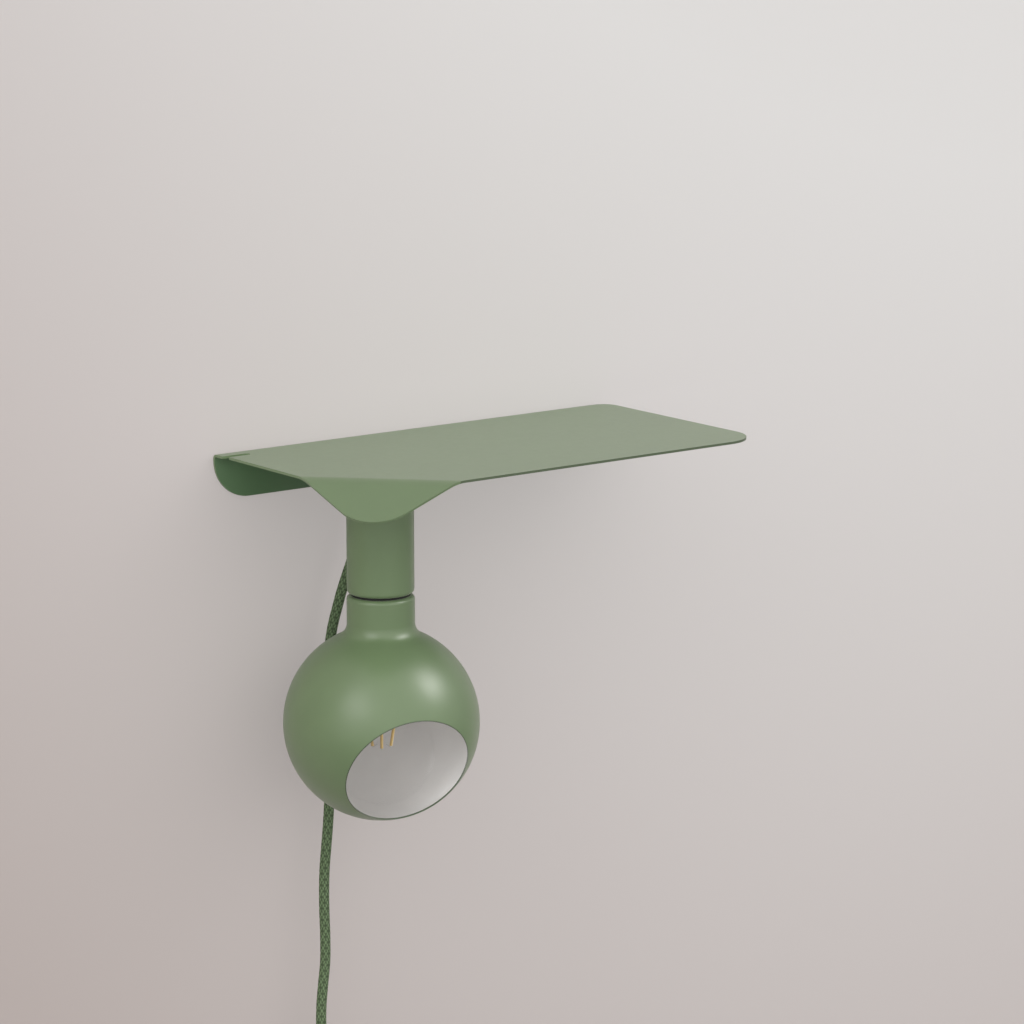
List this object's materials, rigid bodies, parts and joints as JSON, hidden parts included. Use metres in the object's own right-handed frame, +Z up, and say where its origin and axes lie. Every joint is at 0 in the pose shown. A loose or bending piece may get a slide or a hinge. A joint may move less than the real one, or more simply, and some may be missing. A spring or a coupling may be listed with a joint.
{
  "type": "wall lamp with shelf",
  "caption": "Folded sheet-metal wall shelf with a cup lamp held under it by a magnet, a spherical shade with a round opening, and a textile lead with inline switch, spare coil and plug.",
  "frame": {"origin": "midway between the two wall holes, on the wall face of the flange", "axes": "X along the wall to the right, Y into the wall, Z up"},
  "size_m": [0.298, 0.1567, 0.629],
  "materials": {
    "green_coat": "satin powder coat",
    "plated_steel": "zinc plated",
    "magnet": "dull sintered",
    "white_plastic": "matte",
    "black_plastic": "matte",
    "green_plastic": "matte",
    "wire_brown": "matte",
    "wire_blue": "matte",
    "brass": "plain",
    "black_rubber": "matte",
    "clear_glass": "clear",
    "filament": "coated",
    "textile": "braided"
  },
  "bodies": {
    "bracket": {"shelf": "green_coat"},
    "magnet": {"magnet_pot": "plated_steel", "magnet_ring": "magnet", "pivot_screw": "plated_steel", "pivot_nut": "plated_steel", "swivel_washer": "white_plastic"},
    "lamp": {"carrier": "plated_steel", "cup": "green_coat", "cord_gland": "green_plastic", "gland_nut": "black_plastic", "grip_screw": "plated_steel", "inner_lead": "textile", "wire_live": "wire_brown", "wire_neutral": "wire_blue", "terminals": "brass", "terminal_screws": "plated_steel", "lampholder": "black_plastic", "holder_core": "white_plastic", "holder_shell": "brass", "holder_contact": "brass", "cup_ring": "black_plastic", "shade_washer": "black_rubber", "shade_ring": "black_plastic", "bulb_cap": "plated_steel", "bulb_insulator": "black_plastic", "bulb_button": "plated_steel", "bulb_glass": "clear_glass", "bulb_stem": "clear_glass", "bulb_filaments": "filament", "bulb_leads": "plated_steel", "cord_drop": "textile", "switch_base": "black_plastic", "switch_cover": "black_plastic", "switch_screws": "plated_steel", "cord_link": "textile", "cord_coil": "textile", "cord_tie": "black_rubber", "cord_tail": "textile", "plug_body": "black_plastic", "plug_pins": "brass", "pin_sleeves": "black_plastic"},
    "shade_body": {"shade": "green_coat"},
    "rocker": {"switch_rocker": "black_plastic"}
  },
  "joints": [
    {"name": "magnet_pull", "type": "slide", "parent": "bracket", "child": "magnet", "axis": [0, 0, -1], "range_m": [0, 0.025]},
    {"name": "lamp_swivel", "type": "hinge", "parent": "magnet", "child": "lamp", "pos_m": [-0.081, -0.076, 0.0065], "axis": [0, 0, 1], "range_deg": [-25, 25]},
    {"name": "shade_turn", "type": "hinge", "parent": "lamp", "child": "shade_body", "pos_m": [-0.081, -0.076, -0.066], "axis": [0, 0, 1], "continuous": true},
    {"name": "switch_rock", "type": "hinge", "parent": "lamp", "child": "rocker", "pos_m": [-0.09, -0.0265, -0.399], "axis": [-1, 0, 0], "range_deg": [0, 16]}
  ]
}
